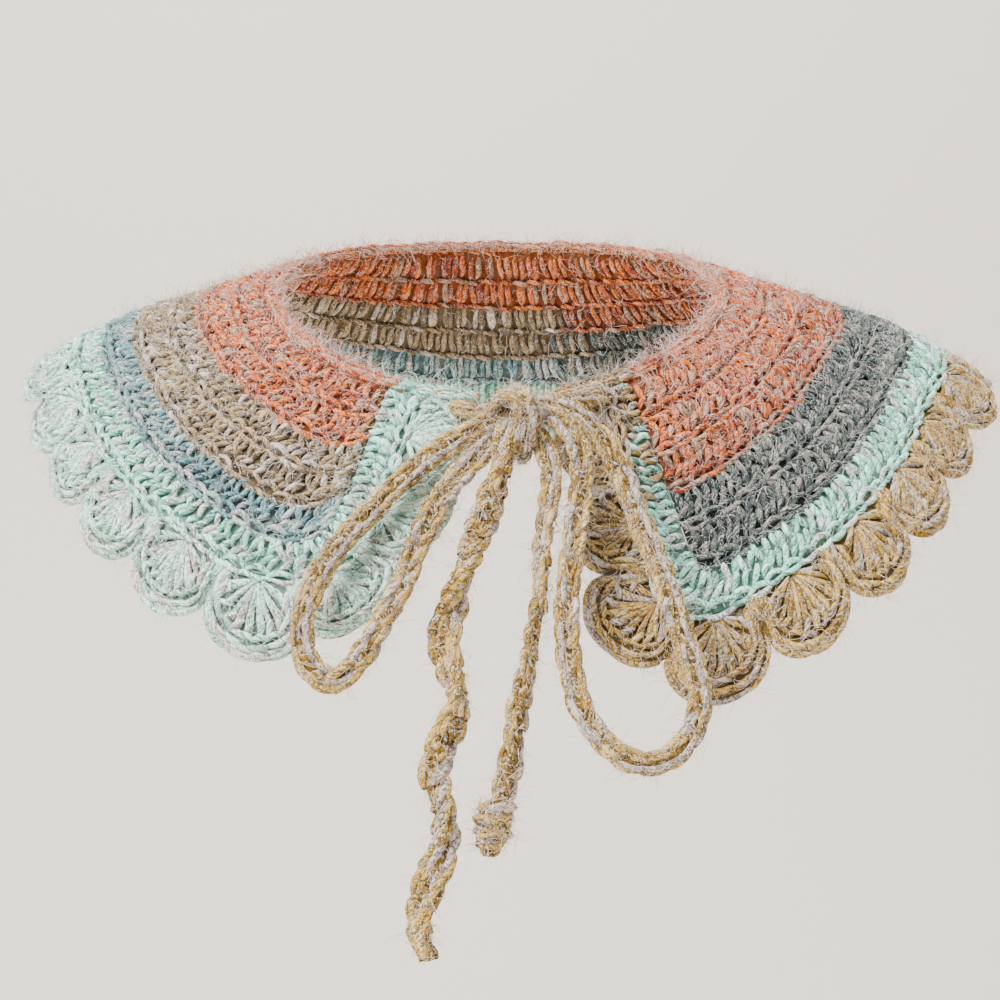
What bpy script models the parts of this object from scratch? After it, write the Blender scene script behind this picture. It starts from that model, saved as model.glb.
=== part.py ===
"""Crochet collar with a scalloped edge, tied at the front with a chain cord in a bow.

Metres, +Z up, the front towards -Y. The origin is the centre of the neck opening. The fabric is
laid out on a curved strip: one coordinate runs along the collar from its left front edge round
the back to its right front edge, the other runs outwards from the neckline.
"""

import math

import bmesh
import bpy
import numpy as np
from mathutils import Vector

# Neck opening: an ellipse in plan, low at the front and high at the back
NECK_HALF_WIDTH = 0.078
NECK_HALF_DEPTH = 0.066
NECK_FRONT_DROP = 0.049
NECK_SIDE_DROP = 0.007
NECK_BACK_RISE = 0.016

# Crochet: rows outwards from the neckline chain, a border round and a round of shells
CHAIN_WIDTH = 0.0055
ROW_COUNT = 5
ROW_HEIGHT = 0.0122
BORDER_WIDTH = 0.013
SHELL_TIP_HEIGHT = 0.023
SHELL_NOTCH_HEIGHT = 0.014
SHELL_COUNT = 33
LEFT_CORNER_RADIUS = 0.020
RIGHT_CORNER_RADIUS = 0.004
FABRIC_THICKNESS = 0.0045
GROOVE_SHARE = 0.72
SHELL_SQUARENESS = 1.5
SHELL_WAIST_SHARE = 0.45
SHELL_BASE_FULLNESS = 0.2
SHELL_RIM_FULLNESS = 0.9

# How the fabric falls at places round the neck, all angles in degrees: where it heads in plan, its
# slope below level at the neckline, how much steeper it is at the tips, and its rows' stretch
DRAPE = [
    {"place": "left_edge", "angle": 4.0, "heading": 15.0, "slope": 51.0, "bend": 12.0, "stretch": 0.87},
    {"place": "left_front", "angle": 28.0, "heading": 28.0, "slope": 53.0, "bend": 12.0, "stretch": 1.05},
    {"place": "left_chest", "angle": 60.0, "heading": 78.0, "slope": 24.0, "bend": 28.0, "stretch": 0.93},
    {"place": "left_side", "angle": 90.0, "heading": 92.0, "slope": 13.5, "bend": 26.0, "stretch": 0.92},
    {"place": "back", "angle": 180.0, "heading": 180.0, "slope": 48.0, "bend": 12.0, "stretch": 1.00},
    {"place": "right_side", "angle": 270.0, "heading": 273.0, "slope": 14.5, "bend": 31.0, "stretch": 1.03},
    {"place": "right_chest", "angle": 300.0, "heading": 280.0, "slope": 22.5, "bend": 26.0, "stretch": 0.98},
    {"place": "right_front", "angle": 332.0, "heading": 336.0, "slope": 60.0, "bend": 7.0, "stretch": 1.13},
    {"place": "right_edge", "angle": 347.0, "heading": 350.0, "slope": 63.0, "bend": 5.0, "stretch": 1.03},
]
BEND_POWER = 3

# Tie: a crochet chain, its knot and the overhand knot at the end of the right tail
CORD_WIDTH = 0.0075
LEFT_TAIL_WIDTH = 0.0088
LEAD_WIDTH = 0.0052
LEAD_RUN = 0.0060
KNOT_CENTRE = (0.0079, -0.0840, -0.0566)
KNOT_SIZE = (0.022, 0.016, 0.020)
TAIL_KNOT_SIZE = (0.0125, 0.0120, 0.0150)

# Clearances between neighbours
SEAM_GAP = 0.0005
FACE_GAP = 0.0003

# Mesh density
STATION_LENGTH = 0.0105
CORNER_STEPS = 4
SEGMENTS_PER_ROW = 2
SEGMENTS_PER_SHELL = 6
CORD_POINT_SPACING = 0.011
LEAD_POINT_SPACING = 0.003
ROUTE_STEP = 0.001
END_RUN = 0.0015
LEAD_TURN = 0.02
KNOT_SEGMENTS = 16
KNOT_RINGS = 9
WELD_DISTANCE = 1e-6

# The cord's routes, each from inside the knot
LEFT_LOOP_ROUTE = [
    (0.0040, -0.0850, -0.0570), (-0.0030, -0.0860, -0.0585), (-0.0130, -0.0890, -0.0635),
    (-0.0230, -0.0925, -0.0705), (-0.0350, -0.0990, -0.0820), (-0.0455, -0.1065, -0.0940),
    (-0.0530, -0.1140, -0.1065), (-0.0555, -0.1210, -0.1185), (-0.0530, -0.1250, -0.1275),
    (-0.0460, -0.1270, -0.1320), (-0.0395, -0.1245, -0.1270), (-0.0335, -0.1205, -0.1175),
    (-0.0275, -0.1140, -0.1065), (-0.0230, -0.1065, -0.0945), (-0.0175, -0.0990, -0.0820),
    (-0.0115, -0.0945, -0.0740), (-0.0055, -0.0910, -0.0680), (0.0010, -0.0865, -0.0605),
]
RIGHT_LOOP_ROUTE = [
    (0.0110, -0.0845, -0.0530), (0.0155, -0.0845, -0.0520), (0.0235, -0.0900, -0.0550),
    (0.0315, -0.0910, -0.0620), (0.0375, -0.0950, -0.0740), (0.0420, -0.0995, -0.0860),
    (0.0465, -0.1040, -0.0975), (0.0505, -0.1090, -0.1090), (0.0540, -0.1140, -0.1215),
    (0.0570, -0.1175, -0.1310), (0.0580, -0.1210, -0.1390), (0.0545, -0.1250, -0.1480),
    (0.0480, -0.1265, -0.1540), (0.0400, -0.1270, -0.1550), (0.0330, -0.1260, -0.1515),
    (0.0265, -0.1235, -0.1445), (0.0225, -0.1195, -0.1355), (0.0205, -0.1150, -0.1240),
    (0.0205, -0.1100, -0.1110), (0.0220, -0.1040, -0.0975), (0.0245, -0.0990, -0.0840),
    (0.0255, -0.0940, -0.0710), (0.0230, -0.0940, -0.0620), (0.0180, -0.0880, -0.0560),
    (0.0130, -0.0855, -0.0545),
]
LEFT_TAIL_ROUTE = [
    (0.0050, -0.0870, -0.0570), (0.0030, -0.0925, -0.0625), (0.0015, -0.0950, -0.0725),
    (-0.0020, -0.0985, -0.0830), (-0.0070, -0.1020, -0.0930), (-0.0110, -0.1055, -0.1045),
    (-0.0140, -0.1080, -0.1135), (-0.0150, -0.1110, -0.1230), (-0.0115, -0.1140, -0.1330),
    (-0.0110, -0.1170, -0.1420), (-0.0155, -0.1200, -0.1510), (-0.0175, -0.1230, -0.1600),
    (-0.0150, -0.1265, -0.1705), (-0.0160, -0.1300, -0.1810), (-0.0190, -0.1325, -0.1895),
    (-0.0210, -0.1350, -0.1990), (-0.0190, -0.1370, -0.2080),
]
RIGHT_TAIL_ROUTE = [
    (0.0100, -0.0860, -0.0590), (0.0130, -0.0880, -0.0630), (0.0165, -0.0945, -0.0710),
    (0.0160, -0.0980, -0.0810), (0.0140, -0.1020, -0.0930), (0.0130, -0.1065, -0.1075),
    (0.0110, -0.1100, -0.1195), (0.0090, -0.1135, -0.1310), (0.0065, -0.1165, -0.1410),
    (0.0050, -0.1200, -0.1510), (0.0030, -0.1230, -0.1600), (0.0010, -0.1250, -0.1665),
]

# Each strand of the tie: its route, its width, and how much of each end lies in the knot
STRANDS = {
    "left_loop": {"route": LEFT_LOOP_ROUTE, "width": CORD_WIDTH, "start": 0.016, "end": 0.024},
    "right_loop": {"route": RIGHT_LOOP_ROUTE, "width": CORD_WIDTH, "start": 0.028, "end": 0.023},
    "left_tail": {"route": LEFT_TAIL_ROUTE, "width": LEFT_TAIL_WIDTH, "start": 0.018, "end": 0.0},
    "right_tail": {"route": RIGHT_TAIL_ROUTE, "width": CORD_WIDTH, "start": 0.016, "end": 0.0},
}

# Colour and roughness of each piece's yarn
YARNS = {
    "foundation_chain": ((0.42, 0.20, 0.10, 1.0), 0.95),
    "collar_rows": ((0.50, 0.22, 0.11, 1.0), 0.95),
    "border_round": ((0.38, 0.60, 0.53, 1.0), 0.95),
    "shell_edging": ((0.40, 0.58, 0.50, 1.0), 0.95),
    "tie": ((0.45, 0.32, 0.18, 1.0), 0.95),
}

# Worked out from the sizes above
LEFT_EDGE_ANGLE = DRAPE[0]["angle"]
RIGHT_EDGE_ANGLE = DRAPE[-1]["angle"]
BODY_TOP = CHAIN_WIDTH / 2 + SEAM_GAP
BODY_DEPTH = ROW_COUNT * ROW_HEIGHT
BODY_EDGE = BODY_TOP + BODY_DEPTH
FRONT_MARGIN = BORDER_WIDTH + SHELL_TIP_HEIGHT
COLLAR_WIDTH = BODY_EDGE + FRONT_MARGIN
SLOPE_STEPS = 24
ARC_STEPS = 600


def clear_scene():
    for old in list(bpy.data.objects):
        bpy.data.objects.remove(old, do_unlink=True)


def collection(name):
    made = bpy.data.collections.new(name)
    bpy.context.scene.collection.children.link(made)
    return made


def yarn_material(name):
    colour, roughness = YARNS[name]
    material = bpy.data.materials.new(name + "_yarn")
    material.use_nodes = True
    shader = material.node_tree.nodes["Principled BSDF"]
    shader.inputs["Base Color"].default_value = colour
    shader.inputs["Roughness"].default_value = roughness
    shader.inputs["Metallic"].default_value = 0.0
    return material


def drape_curve(column):
    """A drape column as a smooth curve over the angles: its angles, values and slopes there."""
    angles = np.array([place["angle"] for place in DRAPE])
    values = np.array([place[column] for place in DRAPE])
    steps = np.diff(angles)
    rises = np.diff(values) / steps
    inner = (rises[:-1] * steps[1:] + rises[1:] * steps[:-1]) / (steps[:-1] + steps[1:])
    return angles, values, np.concatenate([rises[:1], inner, rises[-1:]])


DRAPE_CURVES = {column: drape_curve(column) for column in ("heading", "slope", "bend", "stretch")}


def drape_value(angle, column):
    angles, values, rises = DRAPE_CURVES[column]
    degrees = math.degrees(angle)
    low = min(max(int(np.searchsorted(angles, degrees, side="right")) - 1, 0), len(angles) - 2)
    width = angles[low + 1] - angles[low]
    t = (degrees - angles[low]) / width
    value = values[low] * (1 + 2 * t) * (1 - t) ** 2 + values[low + 1] * t**2 * (3 - 2 * t)
    return value + width * (rises[low] * t * (1 - t) ** 2 + rises[low + 1] * t**2 * (t - 1))


def neckline(angle):
    """The neckline's point at an angle from the front centre, in radians, going round by -X."""
    level = (NECK_BACK_RISE - NECK_FRONT_DROP) / 2
    mean = (level - NECK_SIDE_DROP) / 2
    swing = (NECK_BACK_RISE + NECK_FRONT_DROP) / 2
    height = mean - swing * math.cos(angle) + (level - mean) * math.cos(2 * angle)
    return Vector((-NECK_HALF_WIDTH * math.sin(angle), -NECK_HALF_DEPTH * math.cos(angle), height))


def fabric_point(angle, outwards):
    """The fabric's middle surface at a distance outwards from the neckline."""
    turn = math.radians(drape_value(angle, "heading"))
    heading = Vector((-math.sin(turn), -math.cos(turn), 0.0))
    slope = math.radians(drape_value(angle, "slope"))
    bend = math.radians(drape_value(angle, "bend"))
    step = outwards / SLOPE_STEPS
    middles = (np.arange(SLOPE_STEPS) + 0.5) * step / COLLAR_WIDTH
    slopes = slope + bend * np.abs(middles) ** BEND_POWER
    stretched = step * drape_value(angle, "stretch")
    run = float(np.cos(slopes).sum()) * stretched
    fall = float(np.sin(slopes).sum()) * stretched
    return neckline(angle) + heading * run - Vector((0.0, 0.0, fall))


def strip_table():
    """Angles round the neck and the length along the collar's middle line up to each."""
    angles = np.radians(np.linspace(LEFT_EDGE_ANGLE, RIGHT_EDGE_ANGLE, ARC_STEPS + 1))
    middle = [fabric_point(angle, COLLAR_WIDTH / 2) for angle in angles]
    steps = [(b - a).length for a, b in zip(middle, middle[1:])]
    return angles, np.concatenate([[0.0], np.cumsum(steps)])


STRIP_ANGLES, STRIP_LENGTHS = strip_table()
COLLAR_LENGTH = float(STRIP_LENGTHS[-1])
BODY_LEFT = FRONT_MARGIN
BODY_RIGHT = COLLAR_LENGTH - FRONT_MARGIN


def strip_point(along, outwards):
    return fabric_point(float(np.interp(along, STRIP_LENGTHS, STRIP_ANGLES)), outwards)


def body_stations():
    """Places along the body: fine round its two lower corners, even between them."""
    turns = np.linspace(0.0, math.pi / 2, CORNER_STEPS + 1)
    left = BODY_LEFT + LEFT_CORNER_RADIUS * (1.0 - np.cos(turns))
    right = BODY_RIGHT - RIGHT_CORNER_RADIUS * (1.0 - np.cos(turns))
    count = max(2, round((right[-1] - left[-1]) / STATION_LENGTH))
    middle = left[-1] + (right[-1] - left[-1]) * np.arange(1, count) / count
    return np.concatenate([left, middle, right[::-1]])


def corner_place(along):
    """The nearer corner's radius, and how far past its centre a place lies, from -1 to 1."""
    if along < BODY_LEFT + LEFT_CORNER_RADIUS:
        return LEFT_CORNER_RADIUS, max(-1.0, (along - BODY_LEFT) / LEFT_CORNER_RADIUS - 1.0)
    past = (along - BODY_RIGHT) / RIGHT_CORNER_RADIUS + 1.0
    return RIGHT_CORNER_RADIUS, min(1.0, max(0.0, past))


def body_bottom(along):
    """How far outwards the body reaches, shorter where its corners are rounded."""
    radius, past = corner_place(along)
    return BODY_EDGE - radius * (1.0 - math.sqrt(1.0 - past**2))


def side_stations(along, radius, way):
    """Places down a front edge from the neckline to its corner."""
    length = BODY_EDGE - radius - BODY_TOP
    count = max(2, round(length / STATION_LENGTH))
    return [((along, BODY_TOP + length * index / count), (way, 0.0)) for index in range(count)]


def outline_stations():
    """Points of the body's free outline from left front to right front, with their outward ways."""
    outline = side_stations(BODY_LEFT, LEFT_CORNER_RADIUS, -1.0)
    for along in body_stations():
        past = corner_place(along)[1]
        outline.append(((along, body_bottom(along)), (past, math.sqrt(1.0 - past**2))))
    return outline + side_stations(BODY_RIGHT, RIGHT_CORNER_RADIUS, 1.0)[::-1]


def outline_point(station, distance):
    (along, outwards), (way_x, way_y) = station
    return strip_point(along + way_x * distance, outwards + way_y * distance)


def between(a, b, share):
    """A station part of the way from one to the next, its outward way turned evenly."""
    (ax, ay), (awx, awy) = a
    (bx, by), (bwx, bwy) = b
    way = Vector((awx + (bwx - awx) * share, awy + (bwy - awy) * share)).normalized()
    return (ax + (bx - ax) * share, ay + (by - ay) * share), (way.x, way.y)


def shell_height(share):
    """Height of a shell at a share of its width: a round fan, low at the notches."""
    rise = SHELL_TIP_HEIGHT - SHELL_NOTCH_HEIGHT
    arch = math.sqrt(max(0.0, 1.0 - (2 * share - 1) ** 2))
    return SHELL_NOTCH_HEIGHT + rise * arch**SHELL_SQUARENESS


def shell_stations():
    """Stations spaced evenly round the middle of the shells, each with its shell's height there."""
    outline = outline_stations()
    middle = BORDER_WIDTH + SHELL_TIP_HEIGHT / 2
    points = [outline_point(station, middle) for station in outline]
    reach = np.concatenate([[0.0], np.cumsum([(b - a).length for a, b in zip(points, points[1:])])])
    count = SHELL_COUNT * SEGMENTS_PER_SHELL
    stations = []
    for index in range(count + 1):
        wanted = reach[-1] * index / count
        low = min(int(np.searchsorted(reach, wanted, side="right")) - 1, len(outline) - 2)
        share = (wanted - reach[low]) / (reach[low + 1] - reach[low])
        within = index % SEGMENTS_PER_SHELL / SEGMENTS_PER_SHELL
        stations.append((between(outline[low], outline[low + 1], share), within))
    return stations


def fabric_piece(name, rows, fullness, home):
    """A wall of crochet over a grid of points, thinner in the grooves between its rows."""
    width = len(rows[0])
    mesh = bpy.data.meshes.new(name)
    grid = bmesh.new()
    bmesh.ops.create_grid(grid, x_segments=width - 1, y_segments=len(rows) - 1, size=1.0)
    grid.verts.ensure_lookup_table()
    for vert in grid.verts:
        column = round((vert.co.x + 1) / 2 * (width - 1))
        row = round((vert.co.y + 1) / 2 * (len(rows) - 1))
        vert.co = rows[row][column]
    grid.to_mesh(mesh)
    grid.free()
    piece = bpy.data.objects.new(name, mesh)
    home.objects.link(piece)
    group = piece.vertex_groups.new(name="fullness")
    flat = [fullness[row][column] for row in range(len(rows)) for column in range(width)]
    for index, weight in enumerate(flat):
        group.add([index], weight, "REPLACE")
    wall = piece.modifiers.new("wall", "SOLIDIFY")
    wall.thickness = FABRIC_THICKNESS
    wall.offset = 0.0
    wall.vertex_group = group.name
    wall.use_even_offset = False
    piece.data.materials.append(yarn_material(name))
    return piece


def collar_rows(home):
    """The body: five rows of crochet, thick along each row and thin between rows."""
    stations = body_stations()
    segments = ROW_COUNT * SEGMENTS_PER_ROW
    rows = []
    fullness = []
    for step in range(segments + 1):
        share = step / segments
        depths = [BODY_TOP + (body_bottom(along) - BODY_TOP) * share for along in stations]
        rows.append([strip_point(along, depth) for along, depth in zip(stations, depths)])
        full = 1.0 if step % SEGMENTS_PER_ROW else GROOVE_SHARE
        fullness.append([full] * len(stations))
    return fabric_piece("collar_rows", rows, fullness, home)


def border_round(home):
    """The plain round that wraps both front edges and the outer edge of the body."""
    stations = outline_stations()
    distances = [SEAM_GAP, BORDER_WIDTH / 2, BORDER_WIDTH]
    weights = [GROOVE_SHARE, 1.0, GROOVE_SHARE]
    rows = [[outline_point(station, distance) for station in stations] for distance in distances]
    fullness = [[weight] * len(stations) for weight in weights]
    return fabric_piece("border_round", rows, fullness, home)


def shell_edging(home):
    """The scalloped round of shells."""
    stations = shell_stations()
    shares = [0.0, SHELL_WAIST_SHARE, 1.0]
    start = BORDER_WIDTH + SEAM_GAP
    rows = []
    fullness = []
    for share in shares:
        line = []
        weights = []
        for station, within in stations:
            reach = shell_height(within) - SEAM_GAP
            line.append(outline_point(station, start + reach * share))
            across = math.sin(math.pi * within)
            up = math.sin(math.pi * min(share + SHELL_BASE_FULLNESS, SHELL_RIM_FULLNESS))
            weights.append(GROOVE_SHARE + (1.0 - GROOVE_SHARE) * across * up)
        rows.append(line)
        fullness.append(weights)
    return fabric_piece("shell_edging", rows, fullness, home)


def smooth_route(route):
    """A dense Catmull-Rom curve through a route's points."""
    points = [Vector(point) for point in route]
    points = [points[0] * 2 - points[1], *points, points[-1] * 2 - points[-2]]
    curve = []
    for before, start, end, after in zip(points, points[1:], points[2:], points[3:]):
        count = max(2, math.ceil((end - start).length / ROUTE_STEP))
        for index in range(count):
            t = index / count
            bow = start * 2 + (end - before) * t
            bow += (before * 2 - start * 5 + end * 4 - after) * t**2
            bow += (start * 3 - before - end * 3 + after) * t**3
            curve.append(bow / 2)
    curve.append(points[-2])
    return curve


def lengths_along(curve):
    return np.concatenate([[0.0], np.cumsum([(b - a).length for a, b in zip(curve, curve[1:])])])


def stretch(curve, start, end, spacing=CORD_POINT_SPACING):
    """A curve's points from one length along it to another before its end, straight at both ends."""
    reach = lengths_along(curve)
    axes = [[point[axis] for point in curve] for axis in range(3)]

    def place(length):
        return Vector([float(np.interp(length, reach, values)) for values in axes])

    def heading(length):
        low = max(0.0, length - ROUTE_STEP)
        return (place(length + ROUTE_STEP) - place(low)).normalized()

    last = reach[-1] - end
    count = max(1, round((last - start - 2 * END_RUN) / spacing))
    inner = [place(length) for length in np.linspace(start + END_RUN, last - END_RUN, count + 1)[1:-1]]
    first_run = [place(start), place(start) + heading(start) * END_RUN]
    last_run = [place(last) - heading(last) * END_RUN, place(last)]
    return first_run + inner + last_run


def tube(name, points, width, material, home):
    """A cord as a curve with filled caps."""
    data = bpy.data.curves.new(name, "CURVE")
    data.dimensions = "3D"
    data.bevel_depth = width / 2
    data.bevel_resolution = 2
    data.use_fill_caps = True
    spline = data.splines.new("POLY")
    spline.points.add(len(points) - 1)
    for spot, point in zip(spline.points, points):
        spot.co = (*point, 1.0)
    cord = bpy.data.objects.new(name, data)
    cord.data.materials.append(material)
    home.objects.link(cord)
    return cord


def foundation_chain(home):
    """The chain along the neckline."""
    count = round(COLLAR_LENGTH / STATION_LENGTH)
    inner = [COLLAR_LENGTH * index / count for index in range(1, count)]
    places = [0.0, END_RUN, *inner, COLLAR_LENGTH - END_RUN, COLLAR_LENGTH]
    points = [strip_point(along, 0.0) for along in places]
    return tube("foundation_chain", points, CHAIN_WIDTH, yarn_material("foundation_chain"), home)


def lead_route(angle_degrees, inwards):
    """From just off the neckline chain's end, on along it, and forward into the knot."""
    angle = math.radians(angle_degrees)
    end = neckline(angle)
    way = (end - neckline(angle + inwards * LEAD_TURN)).normalized()
    start = end + way * FACE_GAP
    return [start, start + way * LEAD_RUN / 2, start + way * LEAD_RUN, Vector(KNOT_CENTRE)]


def welded_mesh(source, home):
    """A curve or mesh object as a plain closed mesh object in its place."""
    view = bpy.context.evaluated_depsgraph_get()
    mesh = bpy.data.meshes.new_from_object(source.evaluated_get(view))
    joined = bmesh.new()
    joined.from_mesh(mesh)
    bmesh.ops.remove_doubles(joined, verts=joined.verts, dist=WELD_DISTANCE)
    joined.to_mesh(mesh)
    joined.free()
    solid = bpy.data.objects.new(source.name + "_solid", mesh)
    solid.matrix_world = source.matrix_world.copy()
    home.objects.link(solid)
    bpy.data.objects.remove(source, do_unlink=True)
    return solid


def ellipsoid(name, centre, size, home):
    mesh = bpy.data.meshes.new(name)
    ball = bmesh.new()
    bmesh.ops.create_uvsphere(ball, u_segments=KNOT_SEGMENTS, v_segments=KNOT_RINGS, radius=0.5)
    bmesh.ops.scale(ball, vec=size, verts=ball.verts)
    bmesh.ops.translate(ball, vec=centre, verts=ball.verts)
    ball.to_mesh(mesh)
    ball.free()
    knot = bpy.data.objects.new(name, mesh)
    home.objects.link(knot)
    return knot


def tie_knot(home, cutters, material):
    """The bow's knot, joined with the first stretch of each strand and the two leads."""
    knot = ellipsoid("tie_knot", KNOT_CENTRE, KNOT_SIZE, home)
    knot.data.materials.append(material)
    stubs = []
    for name, strand in STRANDS.items():
        curve = smooth_route(strand["route"])
        whole = lengths_along(curve)[-1]
        stubs.append((name + "_start", stretch(curve, 0.0, whole - strand["start"]), strand["width"]))
        if strand["end"]:
            stubs.append((name + "_end", stretch(curve, whole - strand["end"], 0.0), strand["width"]))
    for name, angle, inwards in (("left_lead", LEFT_EDGE_ANGLE, 1), ("right_lead", RIGHT_EDGE_ANGLE, -1)):
        curve = smooth_route(lead_route(angle, inwards))
        stubs.append((name, stretch(curve, 0.0, 0.0, LEAD_POINT_SPACING), LEAD_WIDTH))
    for name, points, width in stubs:
        stub = welded_mesh(tube(name, points, width, material, cutters), cutters)
        stub.hide_render = True
        stub.display_type = "WIRE"
        union = knot.modifiers.new(name, "BOOLEAN")
        union.operation = "UNION"
        union.object = stub
        union.use_self = True
    return knot


def main():
    clear_scene()
    home = collection("crochet_collar")
    cutters = collection("joined_pieces")
    foundation_chain(home)
    collar_rows(home)
    border_round(home)
    shell_edging(home)
    tie = yarn_material("tie")
    tie_knot(home, cutters, tie)
    for name, strand in STRANDS.items():
        curve = smooth_route(strand["route"])
        end = strand["end"] + FACE_GAP if strand["end"] else 0.0
        points = stretch(curve, strand["start"] + FACE_GAP, end)
        tube(name, points, strand["width"], tie, home)
    tail_end, tail_before = Vector(RIGHT_TAIL_ROUTE[-1]), Vector(RIGHT_TAIL_ROUTE[-2])
    way = (tail_end - tail_before).normalized()
    centre = tail_end + way * (FACE_GAP + TAIL_KNOT_SIZE[2] / 2)
    end_knot = ellipsoid("tail_knot", centre, TAIL_KNOT_SIZE, home)
    end_knot.data.materials.append(tie)


main()
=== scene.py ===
"""Looks of the crochet collar: its yarn, stitches, tie and mohair halo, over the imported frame.

Metres, +Z up, the front towards -Y. The surface functions repeat the collar's own drape: one
coordinate runs along the collar from its left front edge round the back to its right front edge,
the other outwards from the neckline.
"""

import math

import bpy
import numpy as np
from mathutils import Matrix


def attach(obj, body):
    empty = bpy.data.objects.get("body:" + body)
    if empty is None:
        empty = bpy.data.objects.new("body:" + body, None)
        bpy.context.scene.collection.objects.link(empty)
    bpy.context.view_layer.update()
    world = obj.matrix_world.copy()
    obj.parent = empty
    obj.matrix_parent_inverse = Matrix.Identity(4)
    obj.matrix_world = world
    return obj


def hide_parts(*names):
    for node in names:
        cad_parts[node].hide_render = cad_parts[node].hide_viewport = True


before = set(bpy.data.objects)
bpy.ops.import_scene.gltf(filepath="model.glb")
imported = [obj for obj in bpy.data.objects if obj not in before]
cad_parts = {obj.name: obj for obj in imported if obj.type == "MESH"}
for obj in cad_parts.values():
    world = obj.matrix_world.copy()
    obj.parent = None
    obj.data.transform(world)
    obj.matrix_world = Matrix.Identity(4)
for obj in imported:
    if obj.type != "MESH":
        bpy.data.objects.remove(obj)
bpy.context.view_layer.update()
rng = np.random.default_rng(11)

# The collar's sizes and drape, as its solids have them
NECK_HALF_WIDTH = 0.078
NECK_HALF_DEPTH = 0.066
NECK_FRONT_DROP = 0.049
NECK_SIDE_DROP = 0.007
NECK_BACK_RISE = 0.016
CHAIN_WIDTH = 0.0055
ROW_COUNT = 5
ROW_HEIGHT = 0.0122
BORDER_WIDTH = 0.013
SHELL_TIP_HEIGHT = 0.023
SHELL_NOTCH_HEIGHT = 0.014
SHELL_COUNT = 33
SHELL_SQUARENESS = 1.5
LEFT_CORNER_RADIUS = 0.020
RIGHT_CORNER_RADIUS = 0.004
SEAM_GAP = 0.0005
BEND_POWER = 3
DRAPE_COLUMNS = ("angle", "heading", "slope", "bend", "stretch")
DRAPE_ROWS = [
    (4.0, 15.0, 51.0, 12.0, 0.87),
    (28.0, 28.0, 53.0, 12.0, 1.05),
    (60.0, 78.0, 24.0, 28.0, 0.93),
    (90.0, 92.0, 13.5, 26.0, 0.92),
    (180.0, 180.0, 48.0, 12.0, 1.00),
    (270.0, 273.0, 14.5, 31.0, 1.03),
    (300.0, 280.0, 22.5, 26.0, 0.98),
    (332.0, 336.0, 60.0, 7.0, 1.13),
    (347.0, 350.0, 63.0, 5.0, 1.03),
]
DRAPE = {column: np.array(values) for column, values in zip(DRAPE_COLUMNS, zip(*DRAPE_ROWS))}

# The cord's routes, each from inside the knot
LEFT_LOOP_ROUTE = [
    (0.0040, -0.0850, -0.0570), (-0.0030, -0.0860, -0.0585), (-0.0130, -0.0890, -0.0635),
    (-0.0230, -0.0925, -0.0705), (-0.0350, -0.0990, -0.0820), (-0.0455, -0.1065, -0.0940),
    (-0.0530, -0.1140, -0.1065), (-0.0555, -0.1210, -0.1185), (-0.0530, -0.1250, -0.1275),
    (-0.0460, -0.1270, -0.1320), (-0.0395, -0.1245, -0.1270), (-0.0335, -0.1205, -0.1175),
    (-0.0275, -0.1140, -0.1065), (-0.0230, -0.1065, -0.0945), (-0.0175, -0.0990, -0.0820),
    (-0.0115, -0.0945, -0.0740), (-0.0055, -0.0910, -0.0680), (0.0010, -0.0865, -0.0605),
]
RIGHT_LOOP_ROUTE = [
    (0.0110, -0.0845, -0.0530), (0.0155, -0.0845, -0.0520), (0.0235, -0.0900, -0.0550),
    (0.0315, -0.0910, -0.0620), (0.0375, -0.0950, -0.0740), (0.0420, -0.0995, -0.0860),
    (0.0465, -0.1040, -0.0975), (0.0505, -0.1090, -0.1090), (0.0540, -0.1140, -0.1215),
    (0.0570, -0.1175, -0.1310), (0.0580, -0.1210, -0.1390), (0.0545, -0.1250, -0.1480),
    (0.0480, -0.1265, -0.1540), (0.0400, -0.1270, -0.1550), (0.0330, -0.1260, -0.1515),
    (0.0265, -0.1235, -0.1445), (0.0225, -0.1195, -0.1355), (0.0205, -0.1150, -0.1240),
    (0.0205, -0.1100, -0.1110), (0.0220, -0.1040, -0.0975), (0.0245, -0.0990, -0.0840),
    (0.0255, -0.0940, -0.0710), (0.0230, -0.0940, -0.0620), (0.0180, -0.0880, -0.0560),
    (0.0130, -0.0855, -0.0545),
]
LEFT_TAIL_ROUTE = [
    (0.0050, -0.0870, -0.0570), (0.0030, -0.0925, -0.0625), (0.0015, -0.0950, -0.0725),
    (-0.0020, -0.0985, -0.0830), (-0.0070, -0.1020, -0.0930), (-0.0110, -0.1055, -0.1045),
    (-0.0140, -0.1080, -0.1135), (-0.0150, -0.1110, -0.1230), (-0.0115, -0.1140, -0.1330),
    (-0.0110, -0.1170, -0.1420), (-0.0155, -0.1200, -0.1510), (-0.0175, -0.1230, -0.1600),
    (-0.0150, -0.1265, -0.1705), (-0.0160, -0.1300, -0.1810), (-0.0190, -0.1325, -0.1895),
    (-0.0210, -0.1350, -0.1990), (-0.0190, -0.1370, -0.2080),
]
RIGHT_TAIL_ROUTE = [
    (0.0100, -0.0860, -0.0590), (0.0130, -0.0880, -0.0630), (0.0165, -0.0945, -0.0710),
    (0.0160, -0.0980, -0.0810), (0.0140, -0.1020, -0.0930), (0.0130, -0.1065, -0.1075),
    (0.0110, -0.1100, -0.1195), (0.0090, -0.1135, -0.1310), (0.0065, -0.1165, -0.1410),
    (0.0050, -0.1200, -0.1510), (0.0030, -0.1230, -0.1600), (0.0010, -0.1250, -0.1665),
]

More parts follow.
